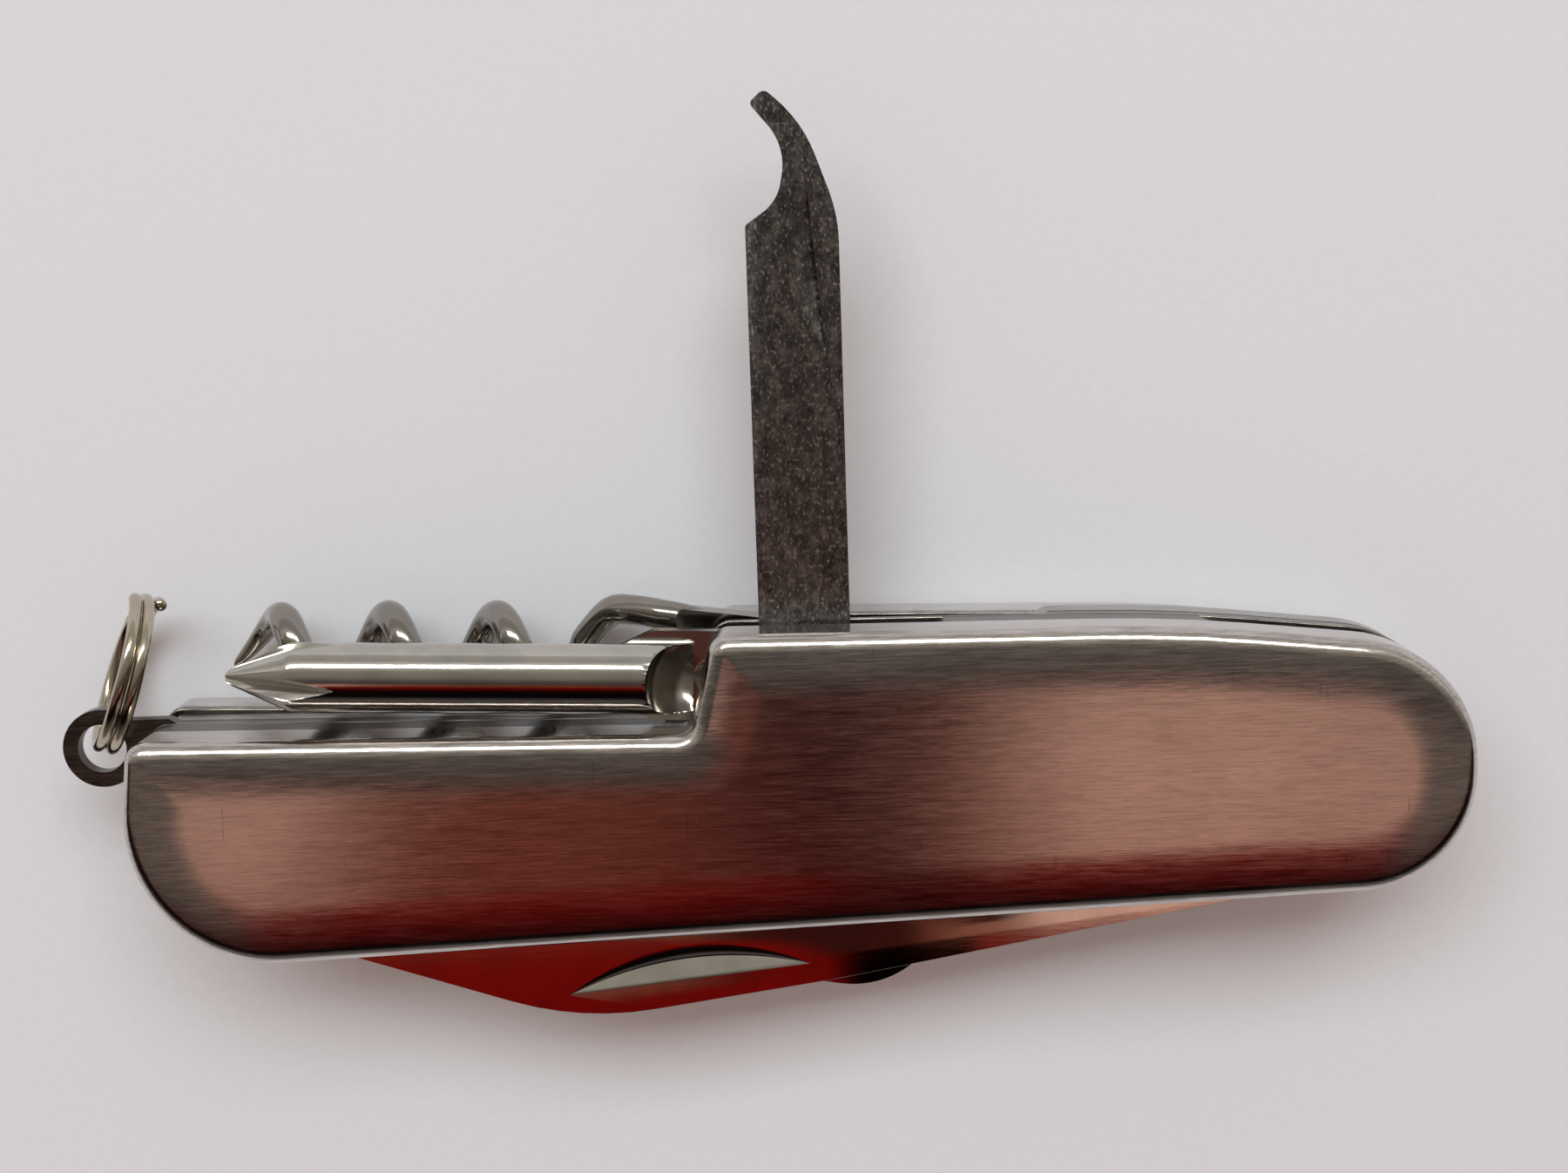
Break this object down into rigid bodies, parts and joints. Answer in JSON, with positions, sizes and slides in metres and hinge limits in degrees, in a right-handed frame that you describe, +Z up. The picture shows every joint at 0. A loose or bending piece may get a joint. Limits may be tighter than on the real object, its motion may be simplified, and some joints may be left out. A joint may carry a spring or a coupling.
{
  "type": "corkscrew pocket multi-tool",
  "caption": "Folding steel pocket multi-tool with a corkscrew, cross-head screwdriver, hooked tool, blade, bottle opener and a split key ring.",
  "frame": {"origin": "on the flat outer face of the back scale, at half of the handle's length", "axes": "+X along the handle towards the blade pivot, +Y out of the handle's back where the corkscrew folds, +Z up through the thickness to the front scale"},
  "size_m": [0.0969, 0.0627, 0.016],
  "materials": {
    "brushed_scale": "brushed along the handle, polished rounded edges",
    "sheet_steel": "rolled sheet with sheared edges",
    "pin_steel": "drawn wire",
    "polished_steel": "bright polished",
    "tumbled_steel": "dark matt, tumbled",
    "ring_wire": "bright wire with a faint warm tarnish"
  },
  "bodies": {
    "handle": {"front_scale": "brushed_scale", "front_liner": "sheet_steel", "front_spring": "sheet_steel", "inner_liner": "sheet_steel", "key_ring_plate": "sheet_steel", "back_spring": "sheet_steel", "back_liner": "sheet_steel", "back_scale": "brushed_scale", "blade_pivot_pin": "pin_steel", "opener_pivot_pin": "pin_steel", "back_tool_pin": "pin_steel", "spring_pin": "pin_steel", "blade_pin_bush_front": "pin_steel", "blade_pin_bush_back": "pin_steel", "opener_pin_bush_front": "pin_steel", "opener_pin_bush_back": "pin_steel"},
    "main_blade": {"main_blade": "polished_steel"},
    "bottle_opener": {"bottle_opener": "polished_steel"},
    "phillips_driver": {"phillips_driver": "polished_steel"},
    "hook_tool": {"hook_tool": "tumbled_steel"},
    "corkscrew": {"corkscrew": "polished_steel"},
    "split_ring": {"split_ring": "ring_wire"}
  },
  "joints": [
    {"name": "main_blade_hinge", "type": "hinge", "parent": "handle", "child": "main_blade", "pos_m": [0.038, -0.0028, 0.0103], "axis": [0, 0, 1], "range_deg": [0, 180]},
    {"name": "bottle_opener_hinge", "type": "hinge", "parent": "handle", "child": "bottle_opener", "pos_m": [-0.0378, -0.0042, 0.00625], "axis": [0, 0, -1], "range_deg": [0, 180]},
    {"name": "phillips_driver_hinge", "type": "hinge", "parent": "handle", "child": "phillips_driver", "pos_m": [0.0008, 0.0071, 0.0109], "axis": [0, 0, -1], "range_deg": [0, 90]},
    {"name": "hook_tool_hinge", "type": "hinge", "parent": "handle", "child": "hook_tool", "pos_m": [0.0008, 0.0071, 0.0097], "axis": [0, 0, 1], "range_deg": [0, 87.8]},
    {"name": "corkscrew_hinge", "type": "hinge", "parent": "handle", "child": "corkscrew", "pos_m": [0.0008, 0.0071, 0.00625], "axis": [0, 0, -1], "range_deg": [0, 90]},
    {"name": "split_ring_swing", "type": "hinge", "parent": "handle", "child": "split_ring", "pos_m": [-0.0485, 0.00305, 0.008], "axis": [0, 0, 1], "range_deg": [0, 75]}
  ]
}
